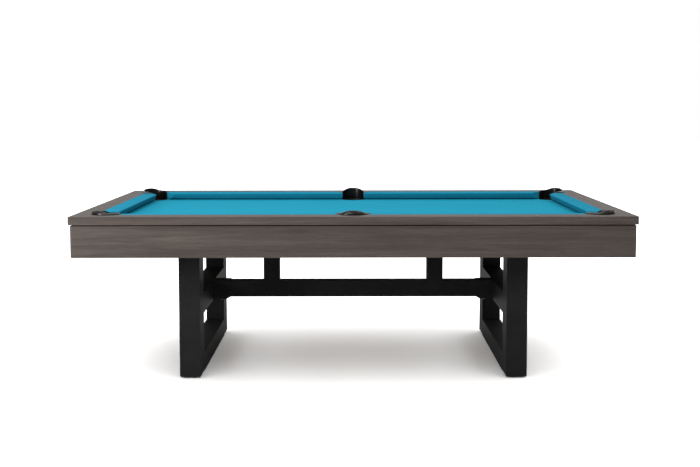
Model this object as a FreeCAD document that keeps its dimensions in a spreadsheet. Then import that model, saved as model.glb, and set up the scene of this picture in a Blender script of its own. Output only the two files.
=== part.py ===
import FreeCAD, Part
import os
import re

import Sketcher

# A pool table on a welded steel base, in millimetres.
# +X runs along the table, -Y is its front and +Z is up. The origin is on the floor
# under the middle of the table.

DRIVING = [
    # Playing surface and rails
    ("play_length", 2236),
    ("play_width", 1118),
    ("wood_width", 105),
    ("cushion_width", 72),
    ("rubber_width", 32),
    ("rail_top", 800),
    ("cap_thickness", 37),
    ("cap_round", 2),
    ("frame_corner", 12),
    ("bed_top", 759),
    ("cloth_thick", 1),
    ("feather_width", 6),
    ("feather_depth", 5),
    ("nose_drop", 5),
    ("nose_back", 4),
    ("nose_rise", 2.2),
    ("nose_chin", 4),
    ("nose_tuck", 1),
    ("heel_reach", 17),
    ("heel_high", 8),
    ("heel_low", 6),
    ("cloth_gap", 0.4),
    ("sight_radius", 6),
    ("sight_depth", 3),
    ("bolt_flats", 15),
    ("bolt_radius", 4),
    ("bolt_head", 7),
    ("bolt_proud", 1),
    ("bolt_cover", 18),
    ("bolt_inset", 15),
    ("bolt_near_x", 230),
    ("bolt_middle_x", 560),
    ("bolt_far_x", 890),
    ("bolt_end_y", 330),
    # Pockets
    ("hole_radius", 68),
    ("collar_wall", 8),
    ("collar_lip", 8),
    ("collar_rise", 22),
    ("crest_inner_drop", 8),
    ("crest_outer_drop", 7),
    ("crest_round", 5),
    ("tip_rise", 3),
    ("lip_gap", 0.2),
    ("seat_gap", 0.5),
    ("corner_sweep", 252),
    ("side_sweep", 216),
    ("corner_inset", 151),
    ("side_inset", 139),
    ("corner_reach", 96.9),
    ("corner_half", 60.1),
    ("corner_tilt", 7),
    ("side_reach", 38),
    ("side_half", 63),
    ("side_tilt", 14),
    ("mouth_overrun", 5),
    ("bag_wall", 4),
    ("bag_depth", 118),
    ("bag_taper", 4),
    ("slate_hole", 66),
    ("notch_length", 170),
    # Slate and the wood below it
    ("slate_thick", 25),
    ("slate_margin", 119.5),
    ("backer_thick", 19),
    ("backer_width", 80),
    ("backer_start_x", 80),
    ("backer_end_x", 1060),
    ("end_backer_y", 480),
    ("cross_backer", 100),
    ("screw_head_radius", 6),
    ("screw_head_height", 3.5),
    ("screw_head_seat", 4),
    ("screw_radius", 2.5),
    ("screw_cover", 3),
    ("screw_y", 300),
    ("end_screw_y", 200),
    ("screw_past_seam", 28),
    ("screw_before_seam", 18),
    ("beam_height", 80),
    ("beam_width", 45),
    ("chassis_y", 400),
    # Cabinet
    ("cap_overhang", 8),
    ("apron_thick", 25),
    ("apron_bottom", 612),
    ("apron_top", 757.5),
    ("reveal_recess", 12),
    ("block_side", 60),
    ("block_lift", 10),
    # Steel base
    ("leg_x", 780),
    ("leg_width", 100),
    ("leg_face_y", 520),
    ("post_depth", 128),
    ("tube_wall", 3),
    ("foot_gap", 6),
    ("post_cap", 6),
    ("foot_chamfer", 5),
    ("bottom_bar_top", 96),
    ("cross_bar_low", 292),
    ("cross_bar_top", 391),
    ("plate_thick", 8),
    ("plate_width", 110),
    ("stretcher_low", 306),
    ("stretcher_side", 82),
    ("socket_wall", 3),
    ("socket_length", 85),
    ("socket_drop", 12),
    ("slant_height", 9),
    ("slant_length", 18),
    ("support_x", 426),
    ("support_side", 82),
    ("flange_length", 180),
    ("lag_flats", 17),
    ("lag_head", 6),
    ("lag_radius", 5),
    ("lag_length", 45),
    ("lag_outer_y", 300),
    ("lag_inner_y", 100),
    ("flange_lag_y", 60),
    ("socket_bolt_flats", 19),
    ("socket_bolt_head", 7),
    ("socket_bolt_radius", 6),
    ("socket_bolt_reach", 18),
    ("weld_overlap", 3),
    # Levelling feet
    ("pad_radius", 30),
    ("pad_thick", 5.5),
    ("stem_radius", 6),
    ("stem_top", 72),
    ("nut_radius", 14),
    ("nut_top", 40),
    ("nut_recess_radius", 12),
    ("nut_recess_top", 14),
    ("thread_gap", 0.05),
    ("neck_gap", 0.4),
    ("collar_flats", 17),
    ("collar_gap", 1),
]

doc = FreeCAD.newDocument("PoolTable")
sheet = doc.addObject("Spreadsheet::Sheet", "Sizes")
for row, (alias, number) in enumerate(DRIVING, start=1):
    sheet.set(f"A{row}", alias)
    sheet.set(f"B{row}", str(number))
    sheet.setAlias(f"B{row}", alias)
doc.recompute()

ALIAS = re.compile(r"\b(" + "|".join(alias for alias, _ in DRIVING) + r")\b")

# Sizes that several pieces share, written with the sheet's names
HALF_LENGTH = "(play_length / 2 + wood_width + cushion_width)"
HALF_WIDTH = "(play_width / 2 + wood_width + cushion_width)"
BLANK_WIDTH = "(wood_width + cushion_width - rubber_width)"
CAP_LOW = "(rail_top - cap_thickness)"
CORNER_X = f"({HALF_LENGTH} - corner_inset)"
CORNER_Y = f"({HALF_WIDTH} - corner_inset)"
SIDE_Y = f"({HALF_WIDTH} - side_inset)"
SLATE_X = "(play_length / 2 + slate_margin)"
SLATE_Y = "(play_width / 2 + slate_margin)"
SLATE_TOP = "(bed_top - cloth_thick)"
SLATE_LOW = f"({SLATE_TOP} - slate_thick)"
BEAM_TOP = f"({SLATE_LOW} - backer_thick)"
BEAM_LOW = f"({BEAM_TOP} - beam_height)"
BASE_TOP = f"({BEAM_LOW} - plate_thick)"
APRON_X = f"({HALF_LENGTH} - cap_overhang)"
APRON_Y = f"({HALF_WIDTH} - cap_overhang)"
POST_Y = "(leg_face_y - post_depth / 2)"
SEAM_X = f"({SLATE_X} / 3)"
SLATE_EDGE = "(wood_width + cushion_width - slate_margin)"

# How far a cutting shape runs beyond what it cuts, and how high it reaches
PAST = "5"
CUT_TOP = "(rail_top + 100)"
# A tube end without a wall: the inner block runs past it
OPEN_END = "(0 - 1)"

nodes = []


def linked(text):
    """Expression text with the sheet's name before each alias."""
    return ALIAS.sub(r"Sizes.\g<0>", str(text))


def value(text):
    """The number that an expression on the sheet comes to."""
    return float(sheet.evalExpression(linked(text)))


def node(thing, name):
    """Keeps a finished sub-part under its own name."""
    thing.Label = name
    nodes.append(thing)
    return thing


def place(thing, x=0, y=0, z=0, turn=0):
    """Moves an object to a place bound to the sheet, turned about Z by a number of degrees."""
    thing.Placement = FreeCAD.Placement(
        FreeCAD.Vector(value(x), value(y), value(z)),
        FreeCAD.Rotation(FreeCAD.Vector(0, 0, 1), turn),
    )
    for axis, text in (("x", x), ("y", y), ("z", z)):
        thing.setExpression(f"Placement.Base.{axis}", linked(text))
    return thing


def box(name, x, y, z):
    """A block between the given pairs of low and high sides."""
    block = doc.addObject("Part::Box", name)
    for size, (low, high) in (("Length", x), ("Width", y), ("Height", z)):
        block.setExpression(size, linked(f"({high}) - ({low})"))
    return place(block, x[0], y[0], z[0])


def centred_box(name, x, y, z, size_x, size_y, height):
    """A block with its middle at x, y and its lower face at z."""
    return box(
        name,
        (f"{x} - {size_x} / 2", f"{x} + {size_x} / 2"),
        (f"{y} - {size_y} / 2", f"{y} + {size_y} / 2"),
        (z, f"{z} + {height}"),
    )


def rod(name, x, y, z, radius, height):
    """An upright cylinder standing at x, y, z."""
    cylinder = doc.addObject("Part::Cylinder", name)
    cylinder.setExpression("Radius", linked(radius))
    cylinder.setExpression("Height", linked(height))
    return place(cylinder, x, y, z)


def hexagon(name, x, y, z, flats, height):
    """An upright hexagonal prism, sized across its flats."""
    prism = doc.addObject("Part::Prism", name)
    prism.Polygon = 6
    prism.setExpression("Circumradius", linked(f"({flats}) / 2 / cos(30)"))
    prism.setExpression("Height", linked(height))
    return place(prism, x, y, z)


def cut(name, base, *tools):
    """What is left of base once each tool has been taken away in turn."""
    for number, tool in enumerate(tools, start=1):
        result = doc.addObject("Part::Cut", f"{name}_{number}")
        result.Base = base
        result.Tool = tool
        base = result
    return base


def fuse(name, *shapes):
    """One solid made of several that overlap or touch."""
    result = doc.addObject("Part::MultiFuse", name)
    result.Shapes = list(shapes)
    return result


def common(name, *shapes):
    """The space that several solids share."""
    result = doc.addObject("Part::MultiCommon", name)
    result.Shapes = list(shapes)
    return result


def group(name, *shapes):
    """Separate solids kept together in one sub-part."""
    result = doc.addObject("Part::Compound", name)
    result.Links = list(shapes)
    return result


def outline(body, role, points, name):
    """A closed outline of straight sides in one of the body's origin planes."""
    sketch = body.newObject("Sketcher::SketchObject", name)
    planes = body.Origin.OriginFeatures
    plane = [feature for feature in planes if feature.Role == role][0]
    sketch.AttachmentSupport = (plane, [""])
    sketch.MapMode = "FlatFace"
    corners = [FreeCAD.Vector(value(x), value(y), 0) for x, y in points]
    for start, end in zip(corners, corners[1:] + corners[:1]):
        sketch.addGeometry(Part.LineSegment(start, end))
    for side in range(len(points)):
        after = (side + 1) % len(points)
        sketch.addConstraint(Sketcher.Constraint("Coincident", side, 2, after, 1))
    for side, pair in enumerate(points):
        for kind, text in zip(("DistanceX", "DistanceY"), pair):
            made = Sketcher.Constraint(kind, -1, 1, side, 1, value(text))
            number = sketch.addConstraint(made)
            sketch.setExpression(f"Constraints[{number}]", linked(text))
    return sketch


def padded(name, role, points, length, both_ways=False):
    """A body padded from one outline, upwards or to both sides of its plane."""
    body = doc.addObject("PartDesign::Body", name)
    pad = body.newObject("PartDesign::Pad", f"{name}_pad")
    sketch = outline(body, role, points, f"{name}_outline")
    pad.Profile = sketch
    pad.Midplane = both_ways
    pad.setExpression("Length", linked(length))
    body.Tip = pad
    return body


def turned(name, points, sweep=None):
    """A body turned about Z from an outline in the XZ plane: all round, or a sweep to both sides."""
    body = doc.addObject("PartDesign::Body", name)
    sketch = outline(body, "XZ_Plane", points, f"{name}_outline")
    revolution = body.newObject("PartDesign::Revolution", f"{name}_turn")
    revolution.Profile = sketch
    revolution.ReferenceAxis = (sketch, ["V_Axis"])
    if sweep:
        revolution.setExpression("Angle", linked(sweep))
        revolution.Midplane = True
    body.Tip = revolution
    return body


# Pockets: where each one is, the way its back points, and whether it is a side pocket
POCKETS = [
    ("front_left", f"-{CORNER_X}", f"-{CORNER_Y}", -135, False),
    ("front_side", "0", f"-{SIDE_Y}", -90, True),
    ("front_right", CORNER_X, f"-{CORNER_Y}", -45, False),
    ("rear_left", f"-{CORNER_X}", CORNER_Y, 135, False),
    ("rear_side", "0", SIDE_Y, 90, True),
    ("rear_right", CORNER_X, CORNER_Y, 45, False),
]

# Long and end rails: name, half extents across and along, turn about Z
SIDES = [
    ("front", HALF_WIDTH, HALF_LENGTH, 0),
    ("right_end", HALF_LENGTH, HALF_WIDTH, 90),
    ("rear", HALF_WIDTH, HALF_LENGTH, 180),
    ("left_end", HALF_LENGTH, HALF_WIDTH, -90),
]


def pocket_opening(name, x, y, turn, is_side):
    """The upright shape that a pocket takes out of the rails: a hole and its angled mouth."""
    kind = "side" if is_side else "corner"
    inner = f"{kind}_half - {kind}_reach * tan({kind}_tilt)"
    points = [
        (f"-{kind}_reach - mouth_overrun", f"-{kind}_half"),
        (f"-{kind}_reach", f"-{kind}_half"),
        ("0", f"-({inner})"),
        ("0", inner),
        (f"-{kind}_reach", f"{kind}_half"),
        (f"-{kind}_reach - mouth_overrun", f"{kind}_half"),
    ]
    mouth = padded(f"{name}_mouth", "XY_Plane", points, CUT_TOP)
    place(mouth, x, y, 0, turn)
    hole = rod(f"{name}_hole", x, y, 0, "hole_radius", CUT_TOP)
    return fuse(f"{name}_opening", mouth, hole)


def slate_notch(name, x, y, turn):
    """The upright shape that a pocket takes out of the slate, open to the slate's edge."""
    points = [
        ("0", "-slate_hole"),
        ("notch_length", "-slate_hole"),
        ("notch_length", "slate_hole"),
        ("0", "slate_hole"),
    ]
    way_out = padded(f"{name}_way_out", "XY_Plane", points, CUT_TOP)
    place(way_out, x, y, 0, turn)
    hole = rod(f"{name}_slate_hole", x, y, 0, "slate_hole", CUT_TOP)
    return fuse(f"{name}_notch", way_out, hole)


def mitred(name, half_across, half_along, depth, turn):
    """The plan of one side of a mitred frame, as a tall prism."""
    points = [
        (f"-{half_along}", f"-{half_across}"),
        (half_along, f"-{half_across}"),
        (f"{half_along} - ({depth})", f"{depth} - {half_across}"),
        (f"{depth} - {half_along}", f"{depth} - {half_across}"),
    ]
    return place(padded(name, "XY_Plane", points, CUT_TOP), turn=turn)


def along_side(name, profile, half_across, half_along, turn):
    """A section, given as depth in from the outer edge and height, run along one side."""
    points = [(f"({depth}) - {half_across}", height) for depth, height in profile]
    body = padded(name, "YZ_Plane", points, f"2 * {half_along}", both_ways=True)
    return place(body, turn=turn)


def rounded_block(name, half_x, half_y, radius):
    """A tall block with rounded upright corners, for trimming a frame's outer corners."""
    block = box(f"{name}_block", (f"-{half_x}", half_x), (f"-{half_y}", half_y), ("0", CUT_TOP))
    doc.recompute()
    fillet = doc.addObject("Part::Fillet", name)
    fillet.Base = block
    fillet.Edges = [(edge, value(radius), value(radius)) for edge in (1, 3, 5, 7)]
    return fillet


openings = group("openings", *[pocket_opening(*pocket) for pocket in POCKETS])
notches = group("notches", *[slate_notch(*pocket[:4]) for pocket in POCKETS])
frame_block = rounded_block("frame_block", HALF_LENGTH, HALF_WIDTH, "frame_corner")
apron_block = rounded_block("apron_block", APRON_X, APRON_Y, "frame_corner")


# Sights: round inlays set into the wood at quarters of each cushion's length
def sight(number, x, y):
    z = "rail_top - sight_depth"
    return rod(f"sight_{number}", x, y, z, "sight_radius", "sight_depth")


def sight_places():
    """Three sights beside each cushion, in the middle of the wood's width."""
    across = f"({HALF_WIDTH} - wood_width / 2)"
    beyond = f"({HALF_LENGTH} - wood_width / 2)"
    for side in (-1, 1):
        for end in (-1, 1):
            for step in (1, 2, 3):
                yield f"{end * step} * play_length / 8", f"{side} * {across}"
        for step in (-1, 0, 1):
            yield f"{side} * {beyond}", f"{step} * play_width / 4"


sights = group("sights", *[sight(n, x, y) for n, (x, y) in enumerate(sight_places())])
node(sights, "rail_sights")


# Rail bolts: hex bolts from below the slate into the rails' inner parts
def rail_bolt(number, x, y):
    low = f"{BEAM_TOP} - bolt_proud"
    reach = f"rail_top - bolt_cover - {BEAM_TOP}"
    head = hexagon(f"rail_bolt_head_{number}", x, y, low, "bolt_flats", "bolt_head")
    shank = rod(f"rail_bolt_shank_{number}", x, y, BEAM_TOP, "bolt_radius", reach)
    return fuse(f"rail_bolt_{number}", head, shank)


def rail_bolt_places():
    """Bolts in line with the middle of the rail blanks, clear of the beams."""
    inset = "(wood_width + bolt_inset)"
    for side in (-1, 1):
        for end in (-1, 1):
            for x in ("bolt_near_x", "bolt_middle_x", "bolt_far_x"):
                yield f"{end} * {x}", f"{side} * ({HALF_WIDTH} - {inset})"
        for step in (-1, 0, 1):
            yield f"{side} * ({HALF_LENGTH} - {inset})", f"{step} * bolt_end_y"


all_rail_bolts = [rail_bolt(n, x, y) for n, (x, y) in enumerate(rail_bolt_places())]
rail_bolts = group("rail_bolt_set", *all_rail_bolts)
node(rail_bolts, "rail_bolts")


# Rails: a wood cap with a narrower blank below the cushion, grooved for the feather strip
RAIL_SECTION = [
    ("0", CAP_LOW),
    ("0", "rail_top - cap_round"),
    ("cap_round", "rail_top"),
    ("wood_width - feather_width", "rail_top"),
    ("wood_width - feather_width", "rail_top - feather_depth"),
    ("wood_width", "rail_top - feather_depth"),
    ("wood_width", "rail_top - cloth_thick"),
    (BLANK_WIDTH, "rail_top - cloth_thick"),
    (BLANK_WIDTH, "bed_top"),
    (f"{SLATE_EDGE} + cloth_thick", "bed_top"),
    (f"{SLATE_EDGE} + cloth_thick", CAP_LOW),
]

FEATHER_SECTION = [
    ("wood_width - feather_width", "rail_top - feather_depth"),
    ("wood_width - feather_width", "rail_top"),
    ("wood_width", "rail_top"),
    ("wood_width", "rail_top - feather_depth"),
]

# The cushion rubber: a wedge whose nose overhangs the bed
NOSE = "(wood_width + cushion_width - cloth_thick)"
RUBBER_SECTION = [
    (BLANK_WIDTH, "rail_top - cloth_thick"),
    (f"{NOSE} - nose_back", "rail_top - nose_drop + nose_rise"),
    (NOSE, "rail_top - nose_drop"),
    (f"{NOSE} - nose_tuck", "rail_top - nose_drop - nose_chin"),
    (f"{BLANK_WIDTH} + heel_reach", "bed_top + heel_high"),
    (BLANK_WIDTH, "bed_top + heel_low"),
]

# The rail cloth: a thin skin over the blank and the rubber, tucked under the feather strip
CLOTH_SECTION = [
    ("wood_width", "rail_top - cloth_thick"),
    ("wood_width", "rail_top"),
    (BLANK_WIDTH, "rail_top"),
    (f"{NOSE} - nose_back + cloth_gap", "rail_top - nose_drop + nose_rise + cloth_thick"),
    (f"{NOSE} + cloth_thick", "rail_top - nose_drop + cloth_gap"),
    (NOSE, "rail_top - nose_drop - nose_chin - cloth_gap"),
    (f"{BLANK_WIDTH} + heel_reach + cloth_gap", "bed_top + heel_high - cloth_thick"),
    (f"{BLANK_WIDTH} + cloth_thick", "bed_top + heel_low - cloth_thick"),
    (f"{BLANK_WIDTH} + cloth_thick", "bed_top + cloth_gap"),
    (BLANK_WIDTH, "bed_top + cloth_gap"),
    (BLANK_WIDTH, "bed_top + heel_low"),
    (f"{BLANK_WIDTH} + heel_reach", "bed_top + heel_high"),
    (f"{NOSE} - nose_tuck", "rail_top - nose_drop - nose_chin"),
    (NOSE, "rail_top - nose_drop"),
    (f"{NOSE} - nose_back", "rail_top - nose_drop + nose_rise"),
    (BLANK_WIDTH, "rail_top - cloth_thick"),
]


def framed(name, section, depth, half_across, half_along, turn):
    """A section run along one side and mitred to the neighbouring sides."""
    run = along_side(f"{name}_run", section, half_across, half_along, turn)
    plan = mitred(f"{name}_plan", half_across, half_along, depth, turn)
    return common(f"{name}_framed", run, plan, frame_block)


def make_rail(side):
    """One wood rail, cut for its pockets, sights and bolts."""
    name = side[0]
    blank = framed(f"{name}_rail", RAIL_SECTION, BLANK_WIDTH, *side[1:])
    node(cut(f"{name}_rail", blank, openings, sights, rail_bolts), f"{name}_rail")


def make_strip(side):
    """The feather strips of one side, cut at the pockets."""
    name = side[0]
    strip = framed(f"{name}_feather", FEATHER_SECTION, BLANK_WIDTH, *side[1:])
    return cut(f"{name}_feather", strip, openings)


def cushions(side, section, kind):
    """The cushion pieces of one side, ended by the pocket mouths."""
    name, half_across, half_along, turn = side
    run = along_side(f"{name}_{kind}", section, half_across, f"({half_along} - corner_inset)", turn)
    return cut(f"{name}_{kind}", run, openings)


for rail_side in SIDES:
    make_rail(rail_side)
node(group("feathers", *[make_strip(side) for side in SIDES]), "feather_strips")
node(group("rubbers", *[cushions(side, RUBBER_SECTION, "rubber") for side in SIDES]), "cushion_rubbers")
node(group("cloths", *[cushions(side, CLOTH_SECTION, "cloth") for side in SIDES]), "rail_cloths")


# Pocket collars: leather-covered irons with a rolled lip, high at the back and low at the tips
def make_collar(name, x, y, turn, is_side):
    inner = "(hole_radius - collar_wall)"
    outer = "(hole_radius + collar_lip)"
    crest = "(rail_top + collar_rise)"
    section = [
        (inner, "bed_top + seat_gap"),
        (inner, f"{crest} - crest_inner_drop"),
        (f"{inner} + crest_round", crest),
        (f"{outer} - crest_round", crest),
        (outer, f"{crest} - crest_outer_drop"),
        (outer, "rail_top + lip_gap"),
        ("hole_radius", "rail_top + lip_gap"),
        ("hole_radius", "bed_top + seat_gap"),
    ]
    ring = turned(f"{name}_ring", section, "side_sweep" if is_side else "corner_sweep")
    above = [
        (f"{outer} + {PAST}", crest),
        (f"{outer} + {PAST}", CUT_TOP),
        (f"-{outer} - {PAST}", CUT_TOP),
        (f"-{outer} - {PAST}", "rail_top + tip_rise"),
    ]
    trim = padded(f"{name}_trim", "XZ_Plane", above, f"3 * {outer}", both_ways=True)
    collar = cut(f"{name}_collar", ring, trim)
    node(place(collar, x, y, 0, turn), f"{name}_collar")


# Pocket bags: leather buckets that hang from the collars inside the cabinet
def make_bag(name, x, y, turn, is_side):
    low = "(bed_top - bag_depth)"
    inner = "(hole_radius - collar_wall)"
    section = [
        ("0", low),
        (f"{inner} - bag_taper + bag_wall", low),
        (f"{inner} + bag_wall", "bed_top + seat_gap"),
        (inner, "bed_top + seat_gap"),
        (f"{inner} - bag_taper", f"{low} + bag_wall"),
        ("0", f"{low} + bag_wall"),
    ]
    node(place(turned(f"{name}_bag", section), x, y, 0, turn), f"{name}_bag")


for pocket in POCKETS:
    make_collar(*pocket)
    make_bag(*pocket)


# Slate in three pieces, screwed to wood backers, under the bed cloth
def slate_screw(number, x, y):
    seat = f"{SLATE_TOP} - screw_head_seat"
    reach = f"{SLATE_TOP} - {BEAM_TOP} - 2 * screw_cover"
    head = rod(f"screw_head_{number}", x, y, seat, "screw_head_radius", "screw_head_height")
    shank = rod(f"screw_shank_{number}", x, y, f"{BEAM_TOP} + screw_cover", "screw_radius", reach)
    return fuse(f"slate_screw_{number}", head, shank)


def slate_screw_places():
    """Screws beside each seam, over the legs and at the ends."""
    for side in (-1, 1):
        for row in (-1, 1):
            yield f"{side} * ({SEAM_X} + screw_past_seam)", f"{row} * screw_y"
            yield f"{side} * ({SEAM_X} - screw_before_seam)", f"{row} * screw_y"
            yield f"{side} * leg_x", f"{row} * screw_y"
            yield f"{side} * ({SLATE_X} - backer_width / 2)", f"{row} * end_screw_y"


all_slate_screws = [slate_screw(n, x, y) for n, (x, y) in enumerate(slate_screw_places())]
slate_screws = group("slate_screw_set", *all_slate_screws)
node(slate_screws, "slate_screws")

BED_PIECES = [
    ("slate_left", (f"-{SLATE_X}", f"-{SEAM_X}")),
    ("slate_center", (f"-{SEAM_X}", SEAM_X)),
    ("slate_right", (SEAM_X, SLATE_X)),
]
for name, x_span in BED_PIECES:
    slab = box(f"{name}_slab", x_span, (f"-{SLATE_Y}", SLATE_Y), (SLATE_LOW, SLATE_TOP))
    node(cut(name, slab, notches, rail_bolts, slate_screws), name)

bed_sheet = box("bed_sheet", (f"-{SLATE_X}", SLATE_X), (f"-{SLATE_Y}", SLATE_Y), (SLATE_TOP, "bed_top"))
node(cut("bed_cloth", bed_sheet, notches, rail_bolts), "bed_cloth")


def backer_boards():
    """Boards between the beams and the slate: along the edges and under the seams and legs."""
    z = (BEAM_TOP, SLATE_LOW)
    for side in (-1, 1):
        y = sorted((f"{side} * ({SLATE_Y} - backer_width)", f"{side} * {SLATE_Y}"), key=value)
        for end in (-1, 1):
            x = sorted((f"{end} * backer_start_x", f"{end} * backer_end_x"), key=value)
            yield box(f"edge_backer_{side}_{end}", x, y, z)
        x = sorted((f"{side} * ({SLATE_X} - backer_width)", f"{side} * {SLATE_X}"), key=value)
        yield box(f"end_backer_{side}", x, ("-end_backer_y", "end_backer_y"), z)
        across = f"2 * ({SLATE_Y} - backer_width)"
        for number, middle in enumerate((SEAM_X, "leg_x")):
            name = f"cross_backer_{side}_{number}"
            x = f"{side} * {middle}"
            yield centred_box(name, x, "0", BEAM_TOP, "cross_backer", across, "backer_thick")


backers = group("backer_set", *list(backer_boards()))
node(cut("backers", backers, rail_bolts, slate_screws), "slate_backers")


# Fasteners of the base: lag screws up through the leg plates and a bolt at each socket
def lag_screw(number, x, y):
    head = hexagon(f"lag_head_{number}", x, y, f"{BASE_TOP} - lag_head", "lag_flats", "lag_head")
    shank = rod(f"lag_shank_{number}", x, y, f"{BASE_TOP} - weld_overlap", "lag_radius", "lag_length")
    return fuse(f"lag_screw_{number}", head, shank)


def socket_bolt(side):
    x = f"{side} * (leg_x - leg_width / 2 - socket_length / 2)"
    low = "(stretcher_low - socket_drop)"
    seat = f"{low} - socket_bolt_head"
    reach = "socket_drop + socket_bolt_reach"
    head = hexagon(f"socket_bolt_head_{side}", x, "0", seat, "socket_bolt_flats", "socket_bolt_head")
    start = f"{low} - weld_overlap"
    shank = rod(f"socket_bolt_shank_{side}", x, "0", start, "socket_bolt_radius", reach)
    return fuse(f"socket_bolt_{side}", head, shank)


def lag_screw_places():
    for side in (-1, 1):
        for row in (-1, 1):
            yield f"{side} * leg_x", f"{row} * lag_outer_y"
            yield f"{side} * leg_x", f"{row} * lag_inner_y"
            yield f"{side} * support_x", f"{row} * flange_lag_y"


base_bolts = group(
    "base_bolt_set",
    *[lag_screw(n, x, y) for n, (x, y) in enumerate(lag_screw_places())],
    *[socket_bolt(side) for side in (-1, 1)],
)
node(base_bolts, "base_bolts")


def beam_blocks():
    """Cross beams over the legs and posts, and long beams let in between them."""
    z = (BEAM_LOW, BEAM_TOP)
    reach = f"({APRON_Y} - apron_thick)"
    edges = ["support_x - leg_width / 2", "support_x + leg_width / 2"]
    edges += ["leg_x - leg_width / 2", "leg_x + leg_width / 2"]
    for side in (-1, 1):
        for number, middle in enumerate(("support_x", "leg_x")):
            name = f"cross_beam_{side}_{number}"
            x = f"{side} * {middle}"
            yield centred_box(name, x, "0", BEAM_LOW, "leg_width", f"2 * {reach}", "beam_height")
        y = (f"{side} * chassis_y - beam_width / 2", f"{side} * chassis_y + beam_width / 2")
        yield box(f"long_beam_{side}", (f"-({edges[0]})", edges[0]), y, z)
        for end in (-1, 1):
            spans = [(edges[1], edges[2]), (edges[3], f"{APRON_X} - apron_thick")]
            for number, span in enumerate(spans):
                x = sorted([f"{end} * ({text})" for text in span], key=value)
                yield box(f"long_beam_{side}_{end}_{number}", x, y, z)


beams = group("beam_set", *list(beam_blocks()))
node(cut("beams", beams, base_bolts), "chassis_beams")


# Cabinet: mitred aprons, corner blocks and a recessed strip that leaves a shadow gap
def make_apron(side):
    name, half_across, half_along, turn = side
    section = [
        ("cap_overhang", "apron_bottom"),
        ("cap_overhang", "apron_top"),
        ("cap_overhang + apron_thick", "apron_top"),
        ("cap_overhang + apron_thick", "apron_bottom"),
    ]
    run = along_side(f"{name}_apron_run", section, half_across, half_along, turn)
    plan = mitred(f"{name}_apron_plan", half_across, half_along, "cap_overhang + apron_thick", turn)
    node(common(f"{name}_apron", run, plan, apron_block), f"{name}_apron")


def reveal_strip(side):
    name, half_across, half_along, turn = side
    near = "cap_overhang + reveal_recess"
    far = "cap_overhang + apron_thick"
    section = [(near, "apron_top"), (near, CAP_LOW), (far, CAP_LOW), (far, "apron_top")]
    run = along_side(f"{name}_reveal_run", section, half_across, half_along, turn)
    plan = mitred(f"{name}_reveal_plan", half_across, half_along, far, turn)
    return common(f"{name}_reveal", run, plan)


def corner_block(side, end):
    x = f"{end} * ({APRON_X} - apron_thick)"
    y = f"{side} * ({APRON_Y} - apron_thick)"
    points = [("0", "0"), (f"{-end} * block_side", "0"), ("0", f"{-side} * block_side")]
    block = padded(f"corner_block_{side}_{end}", "XY_Plane", points, "beam_height")
    return place(block, x, y, "apron_bottom + block_lift")


for apron_side in SIDES:
    make_apron(apron_side)
node(group("reveals", *[reveal_strip(side) for side in SIDES]), "reveal_strips")
blocks = [corner_block(side, end) for side in (-1, 1) for end in (-1, 1)]
node(group("blocks", *blocks), "corner_blocks")


# Base: two welded steel leg frames, a stretcher between them and two support posts
def tube(name, x, y, z, wall_x, wall_y, wall_z):
    """A rectangular tube or closed box with walls of the tube's thickness."""
    outer = box(f"{name}_outer", x, y, z)
    spans = []
    for (low, high), wall in zip((x, y, z), (wall_x, wall_y, wall_z)):
        spans.append((f"{low} + {wall}", f"{high} - {wall}"))
    return cut(name, outer, box(f"{name}_inner", *spans))


def make_post(end, side):
    """A front or rear post, chamfered at its foot, with a hole for the foot's nut."""
    name = f"{'left' if end < 0 else 'right'}_{'front' if side < 0 else 'rear'}_post"
    half = "leg_width / 2"
    foot = "foot_gap"
    nick = "(foot_gap + foot_chamfer)"
    points = [
        (f"-{half}", nick),
        (f"foot_chamfer - {half}", foot),
        (f"{half} - foot_chamfer", foot),
        (half, nick),
        (half, BASE_TOP),
        (f"-{half}", BASE_TOP),
    ]
    skin = padded(f"{name}_skin", "XZ_Plane", points, "post_depth", both_ways=True)
    x = f"{end} * leg_x"
    y = f"{side} * {POST_Y}"
    place(skin, x, y)
    inner = "leg_width - 2 * tube_wall"
    depth = "post_depth - 2 * tube_wall"
    low = "foot_gap + post_cap"
    hollow = centred_box(f"{name}_hollow", x, y, low, f"({inner})", f"({depth})", f"{BASE_TOP} - {low}")
    hole = rod(f"{name}_hole", x, y, "0", "nut_radius", "nut_top")
    node(cut(f"{name}_bored", skin, hollow, hole), name)


def make_leg(end):
    """The rest of one leg frame: its bars and its top plate."""
    hand = "left" if end < 0 else "right"
    x = (f"{end} * leg_x - leg_width / 2", f"{end} * leg_x + leg_width / 2")
    reach = "(leg_face_y - post_depth)"
    y = (f"-{reach}", reach)
    wall = "tube_wall"
    bottom = tube(f"{hand}_bottom_bar", x, y, ("foot_gap", "bottom_bar_top"), wall, OPEN_END, wall)
    node(bottom, f"{hand}_bottom_bar")
    cross = tube(f"{hand}_cross_bar", x, y, ("cross_bar_low", "cross_bar_top"), wall, OPEN_END, wall)
    node(cross, f"{hand}_cross_bar")
    plate = centred_box(
        f"{hand}_plate", f"{end} * leg_x", "0", BASE_TOP, "plate_width", "2 * leg_face_y", "plate_thick"
    )
    node(cut(f"{hand}_top_plate", plate, base_bolts), f"{hand}_top_plate")


def make_stretcher():
    half = "stretcher_side / 2"
    reach = "(leg_x - leg_width / 2)"
    x = (f"-{reach}", reach)
    z = ("stretcher_low", "stretcher_low + stretcher_side")
    beam = tube("stretcher", x, (f"-{half}", half), z, OPEN_END, "tube_wall", "tube_wall")
    node(cut("stretcher_bored", beam, base_bolts), "stretcher_beam")


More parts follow.
